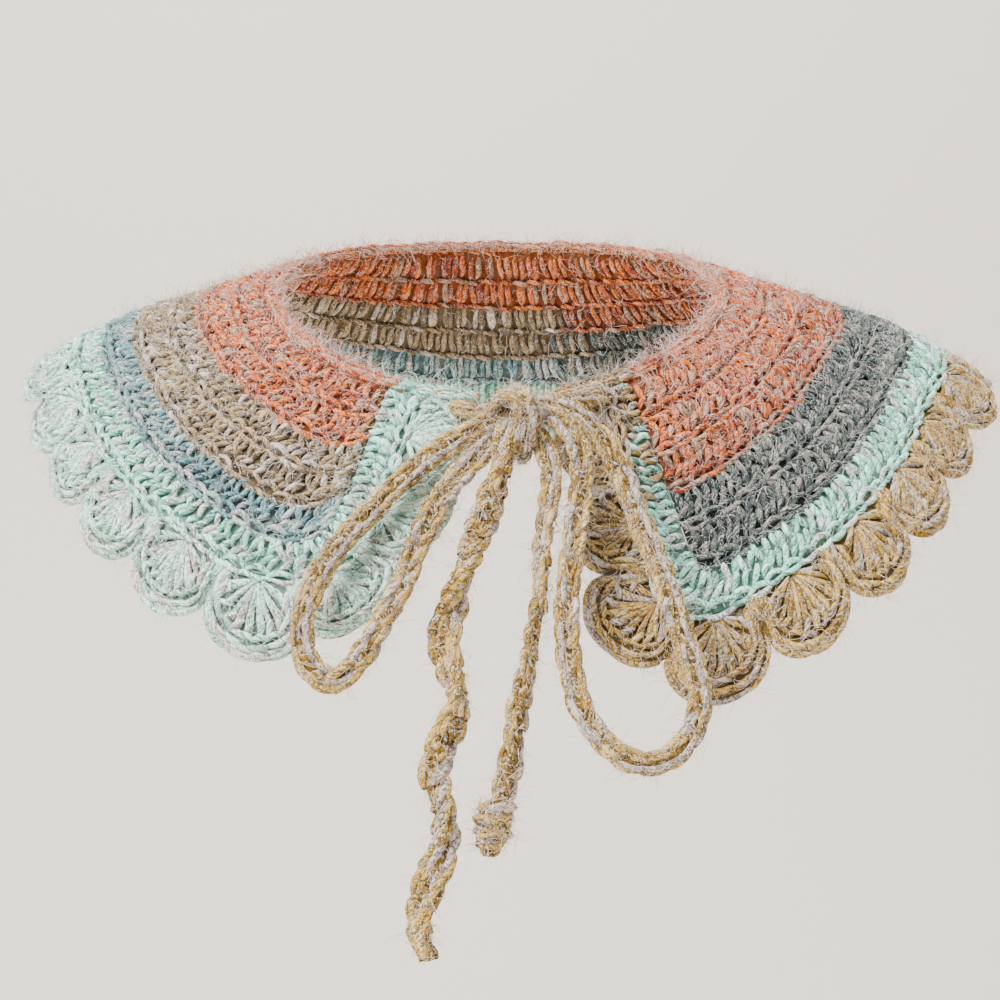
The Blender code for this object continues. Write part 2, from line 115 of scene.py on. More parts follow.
# The knot's turns of cord, each point listed
WRAP_ROUTE = [
    (0.0034, -0.0760, -0.0625), (0.0022, -0.0760, -0.0532), (0.0034, -0.0800, -0.0494),
    (0.0052, -0.0860, -0.0482), (0.0072, -0.0910, -0.0503), (0.0084, -0.0945, -0.0547),
    (0.0087, -0.0950, -0.0601), (0.0081, -0.0920, -0.0648), (0.0067, -0.0870, -0.0674),
    (0.0046, -0.0800, -0.0663),
]
LOOP_OVER_ROUTE = [
    (-0.0034, -0.0820, -0.0581), (-0.0015, -0.0860, -0.0537), (0.0015, -0.0890, -0.0505),
    (0.0051, -0.0920, -0.0497), (0.0090, -0.0930, -0.0516), (0.0118, -0.0900, -0.0551),
    (0.0134, -0.0860, -0.0591),
]
LEFT_LEAD_ROUTE = [
    (-0.0141, -0.0700, -0.0520), (-0.0109, -0.0740, -0.0528), (-0.0071, -0.0780, -0.0536),
    (-0.0028, -0.0820, -0.0544), (0.0015, -0.0850, -0.0554),
]
RIGHT_LEAD_ROUTE = [
    (0.0343, -0.0660, -0.0474), (0.0297, -0.0700, -0.0491), (0.0245, -0.0750, -0.0497),
    (0.0194, -0.0790, -0.0506), (0.0147, -0.0830, -0.0529), (0.0100, -0.0860, -0.0561),
]
HEART_ROUTE = [
    (0.0003, -0.0830, -0.0566), (0.0046, -0.0840, -0.0578), (0.0088, -0.0840, -0.0584),
    (0.0125, -0.0830, -0.0578),
]
KNOT_MIDDLE = np.array([0.0079, -0.0840, -0.0566])
CORD_FRONT = np.array([0.0, -1.0, 0.25])

# Steps of the fabric's surface and outline
STATION_LENGTH = 0.0105
CORNER_STEPS = 4
SLOPE_STEPS = 24
ARC_STEPS = 600
GRID_STEPS = (1100, 112)
GRID_MARGIN = 0.006

# Sizes of the crochet: yarn, stitches, links and fans
YARN_RADIUS = 0.00108
STITCH_WIDTH = 0.0058
NECK_CHAIN_WIDTH = 0.0058
BORDER_STITCH_WIDTH = 0.0060
LINK_PITCH = 0.0062
LINK_OVERLAP = 1.75
LEG_RADIUS_SHARE = 0.215
TIE_PITCH = 0.0072
MILLIMETRE = 0.001
STITCH_MIDDLE = 0.6
END_INSET = 0.001
NECK_OVERLAP = 0.0025
RIM_INSET = 0.0012
BASE_THICKNESS = 0.0016
# Darkening of the walls under the stitches: painted shade in the gaps between stitches
BASE_GAP_SHADE = 0.30
FIBRE_STEPS = 5
FIBRE_CURL = 0.75
FIBRE_WIDTH = 0.00020
FAN_POSTS = 9
FAN_SIDE = 0.13
FAN_SIDE_DROP = 0.0105
FAN_BASE_GAP = 0.0004
FAN_SPREAD = 0.96
BRAID_REACHES = {-1.0: 0.795, 1.0: 0.865}
RIM_CENTRES = np.array([0.24, 0.50, 0.76])[:, None]
STEM_TURNS = (-0.20, -0.06, 0.08, 0.22)
HALO_COUNTS = {"halo_front": 11500, "halo_wrong_side": 2200, "halo_edge": 11000, "halo_neckline": 2400}
HALO_PER_METRE = 5200

BODY_TOP = CHAIN_WIDTH / 2 + SEAM_GAP
BODY_EDGE = BODY_TOP + ROW_COUNT * ROW_HEIGHT
FRONT_MARGIN = BORDER_WIDTH + SHELL_TIP_HEIGHT
COLLAR_WIDTH = BODY_EDGE + FRONT_MARGIN
SHELL_START = BORDER_WIDTH + SEAM_GAP


def unit(vectors):
    return vectors / np.maximum(np.linalg.norm(vectors, axis=-1, keepdims=True), 1e-12)


def reach_along(points):
    """The length along a path up to each of its points."""
    return np.concatenate([[0.0], np.cumsum(np.linalg.norm(np.diff(points, axis=0), axis=1))])


def padded_keys(keys):
    """The keys of a smooth path, with one more at either end."""
    return np.concatenate([[2 * keys[0] - keys[1]], keys, [2 * keys[-1] - keys[-2]]])


def catmull_rom(a, b, c, d, u):
    """Points between keys b and c of a smooth path, at shares u of the way."""
    return 0.5 * (2 * b + (c - a) * u + (2 * a - 5 * b + 4 * c - d) * u**2 + (3 * b - a - 3 * c + d) * u**3)


def drape_value(degrees, column):
    """One column of the drape's table at any angle, on a smooth curve through its rows."""
    angles, values = DRAPE["angle"], DRAPE[column]
    steps = np.diff(angles)
    rises = np.diff(values) / steps
    inner = (rises[:-1] * steps[1:] + rises[1:] * steps[:-1]) / (steps[:-1] + steps[1:])
    rises = np.concatenate([rises[:1], inner, rises[-1:]])
    low = np.clip(np.searchsorted(angles, degrees, side="right") - 1, 0, len(angles) - 2)
    width = angles[low + 1] - angles[low]
    t = (degrees - angles[low]) / width
    value = values[low] * (1 + 2 * t) * (1 - t) ** 2 + values[low + 1] * t**2 * (3 - 2 * t)
    return value + width * (rises[low] * t * (1 - t) ** 2 + rises[low + 1] * t**2 * (t - 1))


def fabric_points(angles, outwards):
    """The fabric's middle surface for every angle and distance outwards."""
    level = (NECK_BACK_RISE - NECK_FRONT_DROP) / 2
    mean = (level - NECK_SIDE_DROP) / 2
    swing = (NECK_BACK_RISE + NECK_FRONT_DROP) / 2
    degrees = np.degrees(angles)
    turn = np.radians(drape_value(degrees, "heading"))
    slope = np.radians(drape_value(degrees, "slope"))[:, None, None]
    bend = np.radians(drape_value(degrees, "bend"))[:, None, None]
    pull = drape_value(degrees, "stretch")[:, None]
    middles = (np.arange(SLOPE_STEPS) + 0.5)[None, None, :] * outwards[None, :, None]
    middles = middles / SLOPE_STEPS / COLLAR_WIDTH
    slopes = slope + bend * np.abs(middles) ** BEND_POWER
    run = np.cos(slopes).mean(axis=2) * outwards[None, :] * pull
    fall = np.sin(slopes).mean(axis=2) * outwards[None, :] * pull
    height = mean - swing * np.cos(angles) + (level - mean) * np.cos(2 * angles)
    x = -NECK_HALF_WIDTH * np.sin(angles)[:, None] - np.sin(turn)[:, None] * run
    y = -NECK_HALF_DEPTH * np.cos(angles)[:, None] - np.cos(turn)[:, None] * run
    return np.stack([x, y, height[:, None] - fall], axis=-1)


ARC_ANGLES = np.radians(np.linspace(DRAPE["angle"][0], DRAPE["angle"][-1], ARC_STEPS + 1))
ARC_MIDDLE = fabric_points(ARC_ANGLES, np.array([COLLAR_WIDTH / 2]))[:, 0]
ARC_LENGTHS = reach_along(ARC_MIDDLE)
COLLAR_LENGTH = float(ARC_LENGTHS[-1])
BODY_LEFT = FRONT_MARGIN
BODY_RIGHT = COLLAR_LENGTH - FRONT_MARGIN

GRID_X = np.linspace(0.0, COLLAR_LENGTH, GRID_STEPS[0] + 1)
GRID_Y = np.linspace(-GRID_MARGIN, COLLAR_WIDTH + GRID_MARGIN, GRID_STEPS[1] + 1)
GRID = fabric_points(np.interp(GRID_X, ARC_LENGTHS, ARC_ANGLES), GRID_Y)
GRID_DX = np.gradient(GRID, GRID_X, axis=0)
GRID_DY = np.gradient(GRID, GRID_Y, axis=1)
GRID_N = unit(np.cross(GRID_DX, GRID_DY))
if GRID_N[:, :, 2].mean() < 0:
    GRID_N = -GRID_N
TABLE = np.concatenate([GRID, GRID_DX, GRID_DY, GRID_N], axis=2)


def surface(along, outwards):
    """Points, along and outwards slopes, and outer normals of the fabric's middle surface."""
    x = np.clip(along, GRID_X[0], GRID_X[-1] - 1e-9) / (GRID_X[1] - GRID_X[0])
    y = np.clip(outwards, GRID_Y[0], GRID_Y[-1] - 1e-9)
    y = (y - GRID_Y[0]) / (GRID_Y[1] - GRID_Y[0])
    i = np.minimum(x.astype(int), len(GRID_X) - 2)
    j = np.minimum(y.astype(int), len(GRID_Y) - 2)
    a, b = (x - i)[..., None], (y - j)[..., None]
    found = (TABLE[i, j] * (1 - a) + TABLE[i + 1, j] * a) * (1 - b)
    found += (TABLE[i, j + 1] * (1 - a) + TABLE[i + 1, j + 1] * a) * b
    return found[..., 0:3], found[..., 3:6], found[..., 6:9], unit(found[..., 9:12])


def lifted(along, outwards, lift):
    """Points off the middle surface by a lift along the outer normal."""
    point, _, _, normal = surface(along, outwards)
    return point + normal * lift[..., None]


def corner_shares(along):
    """How far a place lies past each corner's centre: -1 to 0 on the left, 0 to 1 on the right."""
    left = np.clip((along - BODY_LEFT) / LEFT_CORNER_RADIUS - 1.0, -1.0, 0.0)
    right = np.clip((along - BODY_RIGHT) / RIGHT_CORNER_RADIUS + 1.0, 0.0, 1.0)
    return left, right


def corner_drop(along):
    """How much shorter the body is where its two lower corners are rounded."""
    left, right = corner_shares(along)
    drop = LEFT_CORNER_RADIUS * (1.0 - np.sqrt(1.0 - left**2))
    return drop + RIGHT_CORNER_RADIUS * (1.0 - np.sqrt(1.0 - right**2))


def body_outwards(along, share):
    """The distance from the neckline of a share of the body's depth."""
    return BODY_TOP + (BODY_EDGE - corner_drop(along) - BODY_TOP) * share


def outline():
    """The body's free outline: along, outwards, and outward way, from left front to right front."""
    turns = np.linspace(0.0, math.pi / 2, CORNER_STEPS + 1)
    left = BODY_LEFT + LEFT_CORNER_RADIUS * (1.0 - np.cos(turns))
    right = BODY_RIGHT - RIGHT_CORNER_RADIUS * (1.0 - np.cos(turns))
    count = max(2, round((right[-1] - left[-1]) / STATION_LENGTH))
    middle = left[-1] + (right[-1] - left[-1]) * np.arange(1, count) / count
    bottom = np.concatenate([left, middle, right[::-1]])
    past = sum(corner_shares(bottom))
    sides = []
    for along, radius, way in (
        (BODY_LEFT, LEFT_CORNER_RADIUS, -1.0),
        (BODY_RIGHT, RIGHT_CORNER_RADIUS, 1.0),
    ):
        length = BODY_EDGE - radius - BODY_TOP
        steps = max(2, round(length / STATION_LENGTH))
        side = [(along, BODY_TOP + length * index / steps, way, 0.0) for index in range(steps)]
        sides.append(np.array(side))
    free = np.stack([bottom, BODY_EDGE - corner_drop(bottom), past, np.sqrt(1.0 - past**2)], axis=1)
    return np.concatenate([sides[0], free, sides[1][::-1]])


OUTLINE = outline()
SHELL_MIDDLE = BORDER_WIDTH + SHELL_TIP_HEIGHT / 2
OUTLINE_MIDDLE = OUTLINE[:, :2] + OUTLINE[:, 2:] * SHELL_MIDDLE
OUTLINE_REACH = reach_along(surface(OUTLINE_MIDDLE[:, 0], OUTLINE_MIDDLE[:, 1])[0])
OUTLINE_SHARE = OUTLINE_REACH / OUTLINE_REACH[-1]


def outline_place(share, distance):
    """Strip coordinates at a share of the way round the outline and a distance off it."""
    low = np.clip(np.searchsorted(OUTLINE_SHARE, share, side="right") - 1, 0, len(OUTLINE) - 2)
    t = (share - OUTLINE_SHARE[low]) / (OUTLINE_SHARE[low + 1] - OUTLINE_SHARE[low])
    mixed = OUTLINE[low] + (OUTLINE[low + 1] - OUTLINE[low]) * t[..., None]
    way = unit(mixed[..., 2:4])
    return mixed[..., 0] + way[..., 0] * distance, mixed[..., 1] + way[..., 1] * distance


def shell_height(share):
    """The height of a shell's rim at a share of the way across it."""
    arch = np.sqrt(np.maximum(0.0, 1.0 - (2 * share - 1) ** 2))
    return SHELL_NOTCH_HEIGHT + (SHELL_TIP_HEIGHT - SHELL_NOTCH_HEIGHT) * arch**SHELL_SQUARENESS


# Colours of the yarns
def shade(code):
    """A given colour, as red, green and blue out of 255, in linear light."""
    values = np.array(code) / 255.0
    return np.where(values > 0.04045, ((values + 0.055) / 1.055) ** 2.4, values / 12.92)


# Three shades of each yarn's wool and one of its mohair
YARNS = {
    "orange": [(188, 104, 12), (202, 120, 26), (152, 74, 14), (170, 134, 112)],
    "rust": [(168, 92, 24), (144, 74, 26), (184, 106, 32), (154, 126, 108)],
    "khaki": [(146, 126, 98), (166, 146, 118), (112, 96, 74), (194, 182, 172)],
    "teal": [(104, 138, 144), (132, 160, 162), (158, 176, 176), (190, 194, 194)],
    "slate": [(72, 82, 78), (56, 66, 66), (94, 102, 96), (130, 128, 124)],
    "mint": [(184, 238, 220), (208, 250, 238), (152, 206, 188), (212, 218, 214)],
    "pale": [(204, 238, 224), (222, 246, 236), (170, 206, 190), (218, 214, 208)],
    "gold": [(170, 142, 90), (144, 114, 66), (192, 166, 118), (178, 164, 154)],
    "tan": [(148, 124, 88), (124, 98, 68), (168, 144, 108), (166, 152, 142)],
}
DEPTH = 1.35


def rich(codes):
    """A yarn's colours, deepened away from grey for the light that its fibres scatter."""
    tones = np.array([shade(code) for code in codes])
    grey = tones.mean(axis=1, keepdims=True)
    return np.clip(grey + (tones - grey) * DEPTH, 0.004, 1.0)


PALETTES = {name: rich(codes) for name, codes in YARNS.items()}
MOHAIR = shade((228, 222, 219))

# The yarn of each round: the share of the way along the collar up to which each colour runs
CHART = {
    "chain": [("mint", 0.052), ("orange", 0.94), ("tan", 1.0)],
    "row_1": [("orange", 1.0)],
    "row_2": [("orange", 1.0)],
    "row_3": [("khaki", 0.55), ("rust", 1.0)],
    "row_4": [("khaki", 0.55), ("slate", 1.0)],
    "row_5": [("teal", 0.55), ("slate", 1.0)],
    "border": [("mint", 0.972), ("tan", 1.0)],
    "shells": [("pale", 0.60), ("gold", 1.0)],
}
FADE = 0.012
STRAND_SHARES = [0.40, 0.26, 0.16, 0.18]
WOOL_SHARES = [0.50, 0.22, 0.18, 0.10]
MOHAIR_SHARES = [0.08, 0.06, 0.16, 0.70]


def charted(place, share):
    """The four colours at each share of a round in the chart, or of a yarn by its own name."""
    stops = CHART.get(place, [(place, 1.0)])
    which = np.searchsorted([end for _, end in stops], share, side="right")
    return np.array([PALETTES[name] for name, _ in stops])[which]


def yarn_colours(place, share, count):
    """A colour for each strand of a round, from its place in the chart and its share along it."""
    fuzzy = np.clip(share + rng.normal(0.0, FADE, share.shape), 0.0, 0.9999)
    pick = rng.choice(4, size=count, p=STRAND_SHARES)
    return charted(place, fuzzy)[np.arange(count), pick] * rng.uniform(0.88, 1.10, (count, 1))


# Meshes of yarn: the plies' turn in radians a metre, and the streaks' run a metre
LAY_TWIST = 900.0
LAY_RUN = 70.0
PARTS = {}


def mesh_from(name, points, faces, colours, lay):
    """A piece with each point's yarn colour and, for strands, its place in the lay of the yarn."""
    size = faces.shape[1]
    mesh = bpy.data.meshes.new(name)
    mesh.vertices.add(len(points))
    mesh.vertices.foreach_set("co", points.astype(np.float32).ravel())
    mesh.loops.add(faces.size)
    mesh.loops.foreach_set("vertex_index", faces.astype(np.int32).ravel())
    mesh.polygons.add(len(faces))
    mesh.polygons.foreach_set("loop_start", np.arange(0, faces.size, size, dtype=np.int32))
    mesh.update(calc_edges=True)
    mesh.polygons.foreach_set("use_smooth", np.ones(len(faces), dtype=bool))
    tint = mesh.color_attributes.new("yarn", "FLOAT_COLOR", "POINT")
    rgba = np.concatenate([colours, np.ones((len(colours), 1))], axis=1)
    tint.data.foreach_set("color", rgba.astype(np.float32).ravel())
    if lay is not None:
        laid = mesh.attributes.new("lay", "FLOAT_VECTOR", "POINT")
        laid.data.foreach_set("vector", lay.astype(np.float32).ravel())
    mesh.validate()
    piece = bpy.data.objects.new(name, mesh)
    bpy.context.scene.collection.objects.link(piece)
    PARTS[name] = piece
    return piece


def tube_arrays(paths, radii, colours, ups, sides):
    """Rings round every path: paths and ups (M, K, 3), radii (M, K), colours (M, 3)."""
    count, length = paths.shape[:2]
    tangent = unit(np.gradient(paths, axis=1))
    side = unit(np.cross(tangent, ups))
    over = np.cross(side, tangent)
    angle = np.arange(sides) * 2 * math.pi / sides
    ring = np.cos(angle)[None, None, :, None] * side[:, :, None, :]
    ring = ring + np.sin(angle)[None, None, :, None] * over[:, :, None, :]
    points = paths[:, :, None, :] + ring * radii[:, :, None, None]
    steps = np.linalg.norm(np.diff(paths, axis=1), axis=2)
    reach = np.concatenate([np.zeros((count, 1)), np.cumsum(steps, axis=1)], axis=1)
    twist = angle[None, None, :] + reach[:, :, None] * LAY_TWIST
    run = np.broadcast_to(reach[:, :, None] * LAY_RUN, twist.shape)
    lay = np.stack([np.cos(twist), np.sin(twist), run], axis=-1)
    lay = lay + rng.uniform(0.0, 50.0, (count, 1, 1, 3))
    index = np.arange(count * length * sides).reshape(count, length, sides)
    here, there = index[:, :-1], index[:, 1:]
    faces = np.stack([here, np.roll(here, -1, 2), np.roll(there, -1, 2), there], axis=-1)
    tints = np.repeat(colours, length * sides, axis=0)
    return points.reshape(-1, 3), faces.reshape(-1, 4), tints, lay.reshape(-1, 3)


def tubes(name, groups):
    """One piece from several groups of strands."""
    arrays = [tube_arrays(*group) for group in groups]
    starts = np.cumsum([0] + [len(points) for points, _, _, _ in arrays])
    points = np.concatenate([points for points, _, _, _ in arrays])
    faces = np.concatenate([faces + start for (_, faces, _, _), start in zip(arrays, starts)])
    tints = np.concatenate([tints for _, _, tints, _ in arrays])
    return mesh_from(name, points, faces, tints, np.concatenate([lay for _, _, _, lay in arrays]))


def hump(share):
    """A rise and fall from 0 over 1 to 0, steep at both ends."""
    return np.sin(math.pi * share) ** 0.5


def swell(length, ends=0.42):
    """Radius shares along a strand: full in the middle, thin at both ends."""
    return ends + (1.0 - ends) * hump(np.linspace(0.0, 1.0, length))


def resampled(keys, count):
    """A smooth path through a few key rows (key, column), Catmull-Rom, at count places."""
    keys = np.asarray(keys, dtype=float)
    padded = padded_keys(keys)
    t = np.linspace(0.0, len(keys) - 1 - 1e-9, count)
    i = t.astype(int)
    return catmull_rom(padded[i], padded[i + 1], padded[i + 2], padded[i + 3], (t - i)[:, None])


# Stitch strands, as keys of share across the stitch, share up the row and lift in millimetres
POST_STRANDS = [
    [(0.30, 0.04, 0.5), (0.16, 0.20, 1.7), (0.22, 0.38, 1.9), (0.44, 0.52, 0.8)],
    [(0.66, 0.02, 0.4), (0.80, 0.18, 1.6), (0.72, 0.36, 1.9), (0.50, 0.54, 0.9)],
    [(0.24, 0.42, 0.7), (0.30, 0.56, 1.9), (0.52, 0.70, 2.1), (0.74, 0.82, 0.8)],
    [(0.62, 0.40, 0.5), (0.78, 0.54, 1.6), (0.98, 0.66, 1.8), (1.10, 0.80, 0.7)],
]
TOP_STRANDS = [
    [(-0.18, 0.98, 0.5), (0.10, 0.90, 1.9), (0.55, 0.84, 2.3), (0.95, 0.90, 1.7), (1.20, 0.99, 0.6)],
    [(-0.18, 1.00, 0.4), (0.12, 1.07, 1.6), (0.55, 1.11, 2.0), (0.95, 1.06, 1.5), (1.20, 1.00, 0.6)],
]
BACK_STRANDS = [
    [(0.30, 0.02, 0.4), (0.24, 0.30, 1.6), (0.34, 0.60, 1.7), (0.40, 0.92, 0.5)],
    [(0.72, 0.02, 0.4), (0.66, 0.28, 1.6), (0.76, 0.60, 1.7), (0.62, 0.90, 0.5)],
    [(0.05, 0.97, 0.6), (0.40, 0.90, 2.0), (0.75, 0.97, 1.8), (1.02, 1.04, 0.5)],
]


def even_edges(place, start, end, width):
    """Edges of stitches of about the same real width between two strip coordinates."""
    fine = np.linspace(start, end, 3000)
    point = surface(*place(fine))[0]
    reach = reach_along(point)
    count = max(3, round(reach[-1] / width))
    return np.interp(np.linspace(0.0, reach[-1], count + 1), reach, fine)


def strands_on(strand, edges, place, face, samples, jitter=0.07):
    """Paths of one kind of strand in every stitch of a round, whose place() gives strip coordinates."""
    keys = resampled(strand, samples)
    count = len(edges) - 1
    width = np.diff(edges)
    shift = rng.normal(0.0, jitter, (count, 1)) * np.ones((1, samples))
    rise = rng.normal(0.0, jitter * 0.5, (count, 1)) * np.ones((1, samples))
    lean = rng.normal(0.0, jitter, (count, 1)) * np.linspace(-1.0, 1.0, samples)[None, :]
    across = edges[:-1, None] + (keys[None, :, 0] + shift + lean) * width[:, None]
    along, outwards = place(across, keys[None, :, 1] + rise)
    lift = keys[None, :, 2] * MILLIMETRE * rng.uniform(0.85, 1.2, (count, 1)) * face
    paths = lifted(along, outwards, lift)
    ups = surface(along, outwards)[3]
    share = (edges[:-1] + edges[1:]) / 2
    return paths, ups, share


def stitch_round(strands, edges, place, face, chart, full, samples=7, sides=5):
    """A round of stitches with all their strands, on the fabric's face 1 or its wrong side -1."""
    groups = []
    for strand in strands:
        paths, ups, share = strands_on(strand, edges, place, face, samples)
        share = (share - edges[0]) / (edges[-1] - edges[0])
        colours = yarn_colours(chart, share, len(paths))
        radii = YARN_RADIUS * full * swell(samples)[None, :] * rng.uniform(0.86, 1.14, (len(paths), 1))
        groups.append((paths, radii, colours, ups, sides))
    return groups


def body_rows(face):
    """The strands of the body's rows, from the neckline outwards."""
    groups = []
    for row in range(ROW_COUNT):
        middle = (row + STITCH_MIDDLE) / ROW_COUNT
        ends = (BODY_LEFT + END_INSET, BODY_RIGHT - END_INSET)
        edges = even_edges(lambda x: (x, body_outwards(x, middle)), *ends, STITCH_WIDTH)

        def place(across, up, row=row):
            inside = np.clip(across, BODY_LEFT, BODY_RIGHT)
            return across, body_outwards(inside, (row + up) / ROW_COUNT)

        chart = f"row_{row + 1}"
        if face > 0:
            groups += stitch_round(POST_STRANDS, edges, place, face, chart, 1.0)
            groups += stitch_round(TOP_STRANDS, edges, place, face, chart, 0.92, samples=8)
        else:
            groups += stitch_round(BACK_STRANDS, edges, place, face, chart, 1.05, samples=6, sides=4)
    return groups


def outline_round(strands, low, high, width, face, chart, full, samples=7, sides=5):
    """A round of stitches along the outline, between two distances off it."""
    middle = (low + high) / 2
    edges = even_edges(lambda s: outline_place(s, np.full_like(s, middle)), 0.0005, 0.9995, width)

    def place(across, up):
        inside = np.clip(across, 0.0, 1.0)
        return outline_place(inside, low + (high - low) * up)

    return stitch_round(strands, edges, place, face, chart, full, samples=samples, sides=sides)


# Shells: fans of posts from a base point, a braid of chain links and a smooth rim
def fan_place(shell, share, reach):
    """Outline share and distance of a point of each fan: share round its edge, reach from its base."""
    within = np.clip((share - FAN_SIDE) / (1.0 - 2.0 * FAN_SIDE), 0.0, 1.0)
    down = np.clip(np.maximum(FAN_SIDE - share, share - 1.0 + FAN_SIDE) / FAN_SIDE, 0.0, 1.2)
    edge = shell_height(within) - FAN_SIDE_DROP * down
    across = 0.5 + (within - 0.5) * FAN_SPREAD * reach
    distance = SHELL_START + FAN_BASE_GAP + (edge - FAN_BASE_GAP) * reach
    return (shell + across) / SHELL_COUNT, distance


def shell_strands(face):
    """The strands of every shell: posts, their wraps, the braid, the rim and the stems between shells."""
    shells = np.arange(SHELL_COUNT)[:, None, None]
    groups = []
    front = face > 0

    def add(share, reach, lift, full, ends=0.42):
        """Strands of every shell from arrays of (strand, sample), thinner at the base if fanned."""
        samples = share.shape[1]
        share = share[None] + rng.normal(0.0, 0.012, (SHELL_COUNT, share.shape[0], 1))
        reach = reach[None] + rng.normal(0.0, 0.012, (SHELL_COUNT, reach.shape[0], 1))
        along, distance = fan_place(shells, share, reach)
        x, y = outline_place(np.clip(along, 0.0, 1.0), distance)
        high = lift[None] * rng.uniform(0.85, 1.2, (SHELL_COUNT, share.shape[1], 1))
        paths = lifted(x, y, high * face * MILLIMETRE)
        flat = paths.reshape(-1, samples, 3)
        ups = surface(x, y)[3].reshape(-1, samples, 3)
        colours = yarn_colours("shells", along.mean(axis=2).reshape(-1), len(flat))
        thick = swell(samples, ends)
        if ends < 0.42:
            thick = thick * np.linspace(0.72, 1.08, samples)
        radii = YARN_RADIUS * full * thick[None, :] * rng.uniform(0.88, 1.12, (len(flat), 1))
        groups.append((flat, radii, colours, ups, 5 if front else 4))

    posts = ((np.arange(FAN_POSTS) + 0.5) / FAN_POSTS)[:, None]
    one = np.ones_like(posts)
    t = np.linspace(0.0, 1.0, 8)[None, :]
    for side in (-1.0, 1.0) if front else (0.0,):
        add(posts + side * 0.026 * t, (0.05 + 0.68 * t) * one, (0.5 + 1.5 * hump(t)) * one, 0.88, ends=0.41)
    if front:
        wrap = np.linspace(0.0, 1.0, 6)[None, :]
        rise = (0.55 + 0.22 * wrap) * one
        add(posts - 0.04 + 0.08 * wrap, rise, (1.0 + 1.4 * hump(wrap)) * one, 0.9)
    for way, reach in BRAID_REACHES.items():
        bow = 0.035 * np.sin(math.pi * t) * way
        add(posts - 0.07 + 0.155 * t, (reach + bow) * one, (0.6 + 1.5 * hump(t)) * one, 0.95)
    rims = RIM_CENTRES + np.linspace(-0.15, 0.15, 8)[None, :]
    add(rims, np.full_like(rims, 0.985), np.full_like(rims, 0.3), 1.0)
    if front:
        inner = RIM_CENTRES + 0.1 + np.linspace(-0.15, 0.15, 8)[None, :] * 0.9
        add(inner, np.full_like(inner, 0.93), np.full_like(inner, 0.9), 0.9)

    for turn in STEM_TURNS:
        stem = np.linspace(0.0, 1.0, 7)[None, :]
        across = turn * (1.0 - 0.75 * stem) * 0.5
        along = (np.arange(1, SHELL_COUNT)[:, None] + across) / SHELL_COUNT
        x, y = outline_place(along, SHELL_START - 0.001 + 0.0075 * stem + 0.0 * along)
        paths = lifted(x, y, (0.5 + 1.4 * hump(stem)) * MILLIMETRE * face + 0.0 * x)
        colours = yarn_colours("shells", along.mean(axis=1), len(paths))
        radii = YARN_RADIUS * 0.85 * swell(7)[None, :] * np.ones((len(paths), 1))
        groups.append((paths, radii, colours, surface(x, y)[3], 4))
    return groups


# Base fabric under the stitches, in the yarn's own colours darkened as painted shade for the gaps between
# stitches
def base_piece(name, along, outwards, colours):
    """A thin wall of plain fabric over a grid of strip coordinates (rows, columns), its colours darkened as
    painted shade.
    """
    point = surface(along, outwards)[0]
    rows, columns = along.shape
    index = np.arange(rows * columns).reshape(rows, columns)
    faces = np.stack([index[:-1, :-1], index[:-1, 1:], index[1:, 1:], index[1:, :-1]], axis=-1)
    # The yarn's colours darkened: painted shade in the gaps between stitches
    gap_shade = colours.reshape(-1, 3) * BASE_GAP_SHADE
    piece = mesh_from(name, point.reshape(-1, 3), faces.reshape(-1, 4), gap_shade, None)
    wall = piece.modifiers.new("wall", "SOLIDIFY")
    wall.thickness = BASE_THICKNESS
    wall.offset = 0.0
    return piece


def base_rows(lines, columns):
    """The body's plain wall, which reaches a little under the neckline's chain."""
    x = np.linspace(BODY_LEFT, BODY_RIGHT, columns)
    share = np.linspace(0.0, 1.0, lines)[:, None]
    along = np.broadcast_to(x[None, :], (lines, columns))
    outwards = body_outwards(along, share) - (share == 0.0) * NECK_OVERLAP
    colours = np.zeros((lines, columns, 3))
    for line in range(lines):
        row = min(ROW_COUNT - 1, int(line * ROW_COUNT / lines))
        colours[line] = yarn_colours(f"row_{row + 1}", (x - BODY_LEFT) / (BODY_RIGHT - BODY_LEFT), columns)
    return base_piece("collar_base", along, outwards, colours)


def base_outline(name, low, high_of, chart, rows, columns):
    """A plain wall along the outline, from one distance off it to another that varies."""
    share = np.linspace(0.0, 1.0, columns)
    shares = np.broadcast_to(share[None, :], (rows, columns))
    up = np.linspace(0.0, 1.0, rows)[:, None]
    distance = low + (high_of(share)[None, :] - low) * up
    along, outwards = outline_place(shares, distance)
    colours = yarn_colours(chart, np.tile(share, rows), rows * columns).reshape(rows, columns, 3)
    return base_piece(name, along, outwards, colours)


# Tie cords: links of crochet chain, two legs each, of several plies
def dense(route):
    """A smooth path through a route's points, with a point about every millimetre."""
    keys = np.array(route)
    spans = np.linalg.norm(np.diff(keys, axis=0), axis=1)
    padded = padded_keys(keys)
    out = []
    for i, span in enumerate(spans):
        count = max(2, math.ceil(span / MILLIMETRE))
        out.append(catmull_rom(*padded[i : i + 4], (np.arange(count) / count)[:, None]))
    out.append(keys[-1:])
    return np.concatenate(out)


def path_length(points):
    return float(np.linalg.norm(np.diff(points, axis=0), axis=1).sum())


# A link's leg, as keys of share along it, share of the half width and height
LEG_KEYS = [
    (0.0, 0.30, -0.5), (0.16, 0.50, 0.6), (0.36, 0.86, 1.0),
    (0.60, 1.0, 0.6), (0.82, 0.86, -0.2), (1.0, 0.40, -0.9),
]


